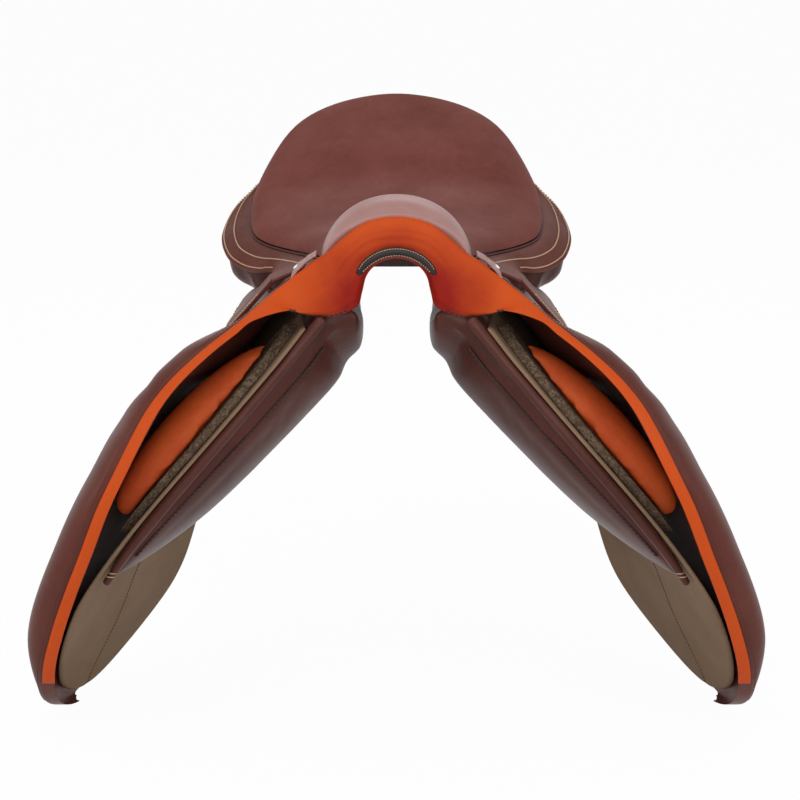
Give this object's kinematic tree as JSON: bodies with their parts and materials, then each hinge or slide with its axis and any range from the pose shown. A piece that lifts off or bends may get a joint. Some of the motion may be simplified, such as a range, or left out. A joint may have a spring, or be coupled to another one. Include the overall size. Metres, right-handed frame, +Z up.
{
  "type": "english saddle",
  "caption": "Close-contact jumping saddle with a padded seat, forward flaps that lift, stirrup bars, knee blocks, girth straps and flocked panels.",
  "frame": {"origin": "middle of the gullet between the panels, at the height of the horse's spine line, level with the lower edge of the seat's waist", "axes": "+X towards the rider's left, -Y towards the pommel at the front, +Z up"},
  "size_m": [0.6484, 0.5115, 0.5153],
  "materials": {
    "tree_iron": "satin black paint on iron",
    "steel": "dull spring and bar steel",
    "tree_wood": "laminated beech",
    "webbing": "woven web",
    "foam": "open foam",
    "seat_leather": "soft grained calf, low sheen",
    "pommel_leather": "smooth waxed calf, soft highlight",
    "band_leather": "grained calf with cream stitching",
    "chrome": "bright plate",
    "strap_leather": "bridle leather",
    "orange_leather": "dyed lining leather, matt",
    "badge_leather": "bare black patch",
    "flap_leather": "grained calf, waxed edge",
    "sweat_leather": "flesh side out, matt",
    "block_leather": "dyed lining leather over foam",
    "felt": "hook tape and felt",
    "panel_leather": "soft glove leather over wool",
    "welt_leather": "rolled welt"
  },
  "bodies": {
    "saddle": {"head_arch": "tree_iron", "head_plate": "steel", "tree_rivets": "steel", "tree_rail_left": "tree_wood", "tree_rail_right": "tree_wood", "rail_spring_left": "steel", "rail_spring_right": "steel", "cantle_board": "tree_wood", "seat_webs": "webbing", "seat_foam": "foam", "seat_cover": "seat_leather", "pommel_cover": "pommel_leather", "cantle_facing": "band_leather", "seat_band_left": "band_leather", "seat_band_right": "band_leather", "saddle_nails": "chrome", "dee_chapes": "strap_leather", "stirrup_bar_left": "steel", "stirrup_bar_right": "steel", "catch_pins": "steel", "head_facing": "orange_leather", "arch_badge": "badge_leather", "flap_top_left": "flap_leather", "flap_top_right": "flap_leather", "sweat_flap_left": "sweat_leather", "sweat_flap_right": "sweat_leather", "knee_block_left": "block_leather", "knee_block_right": "block_leather", "block_backing_left": "felt", "block_backing_right": "felt", "girth_web_left": "webbing", "girth_web_right": "webbing", "buckle_guard_left": "strap_leather", "buckle_guard_right": "strap_leather", "panel_left": "panel_leather", "panel_right": "panel_leather", "panel_welt_left": "welt_leather", "panel_welt_right": "welt_leather", "gullet_lining": "felt"},
    "flap_left": {"flap_left": "flap_leather", "flap_facing_left": "orange_leather"},
    "flap_right": {"flap_right": "flap_leather", "flap_facing_right": "orange_leather"},
    "skirt_left": {"skirt_left": "band_leather"},
    "skirt_right": {"skirt_right": "band_leather"},
    "bar_catch_left": {"bar_catch_left": "steel"},
    "bar_catch_right": {"bar_catch_right": "steel"},
    "front_dee_left": {"front_dee_left": "chrome"},
    "front_dee_right": {"front_dee_right": "chrome"},
    "girth_strap_front_left": {"girth_strap_front_left": "strap_leather"},
    "girth_strap_front_right": {"girth_strap_front_right": "strap_leather"},
    "girth_strap_rear_left": {"girth_strap_rear_left": "strap_leather"},
    "girth_strap_rear_right": {"girth_strap_rear_right": "strap_leather"}
  },
  "joints": [
    {"name": "flap_left_hinge", "type": "hinge", "parent": "saddle", "child": "flap_left", "pos_m": [0.18824, -0.258, -0.002], "axis": [0.1066, -0.9943, 0], "range_deg": [0, 75]},
    {"name": "flap_right_hinge", "type": "hinge", "parent": "saddle", "child": "flap_right", "pos_m": [-0.18824, -0.258, -0.002], "axis": [0.1066, 0.9943, 0], "range_deg": [0, 75]},
    {"name": "skirt_left_hinge", "type": "hinge", "parent": "saddle", "child": "skirt_left", "pos_m": [0.1101, -0.172, 0.0635], "axis": [-0.0451, -0.988, 0.1479], "range_deg": [0, 65]},
    {"name": "skirt_right_hinge", "type": "hinge", "parent": "saddle", "child": "skirt_right", "pos_m": [-0.1101, -0.172, 0.0635], "axis": [-0.0451, 0.988, -0.1479], "range_deg": [0, 65]},
    {"name": "bar_catch_left_hinge", "type": "hinge", "parent": "saddle", "child": "bar_catch_left", "pos_m": [0.095, -0.0705, 0.04], "axis": [1, 0, 0], "range_deg": [0, 40]},
    {"name": "bar_catch_right_hinge", "type": "hinge", "parent": "saddle", "child": "bar_catch_right", "pos_m": [-0.095, -0.0705, 0.04], "axis": [1, 0, 0], "range_deg": [0, 40]},
    {"name": "front_dee_left_hinge", "type": "hinge", "parent": "saddle", "child": "front_dee_left", "pos_m": [0.099, -0.1835, 0.056], "axis": [0, -1, 0], "range_deg": [0, 60]},
    {"name": "front_dee_right_hinge", "type": "hinge", "parent": "saddle", "child": "front_dee_right", "pos_m": [-0.099, -0.1835, 0.056], "axis": [0, 1, 0], "range_deg": [0, 60]},
    {"name": "girth_strap_front_left_hinge", "type": "hinge", "parent": "saddle", "child": "girth_strap_front_left", "pos_m": [0.11822, -0.041, 0.006], "axis": [0.9042, 0, 0.4271], "range_deg": [-2, 1]},
    {"name": "girth_strap_front_right_hinge", "type": "hinge", "parent": "saddle", "child": "girth_strap_front_right", "pos_m": [-0.11822, -0.041, 0.006], "axis": [0.9042, 0, -0.4271], "range_deg": [-2, 1]},
    {"name": "girth_strap_rear_left_hinge", "type": "hinge", "parent": "saddle", "child": "girth_strap_rear_left", "pos_m": [0.12131, 0.005, 0.006], "axis": [0.9326, 0, 0.3609], "range_deg": [-2, 1]},
    {"name": "girth_strap_rear_right_hinge", "type": "hinge", "parent": "saddle", "child": "girth_strap_rear_right", "pos_m": [-0.12131, 0.005, 0.006], "axis": [0.9326, 0, -0.3609], "range_deg": [-2, 1]}
  ]
}
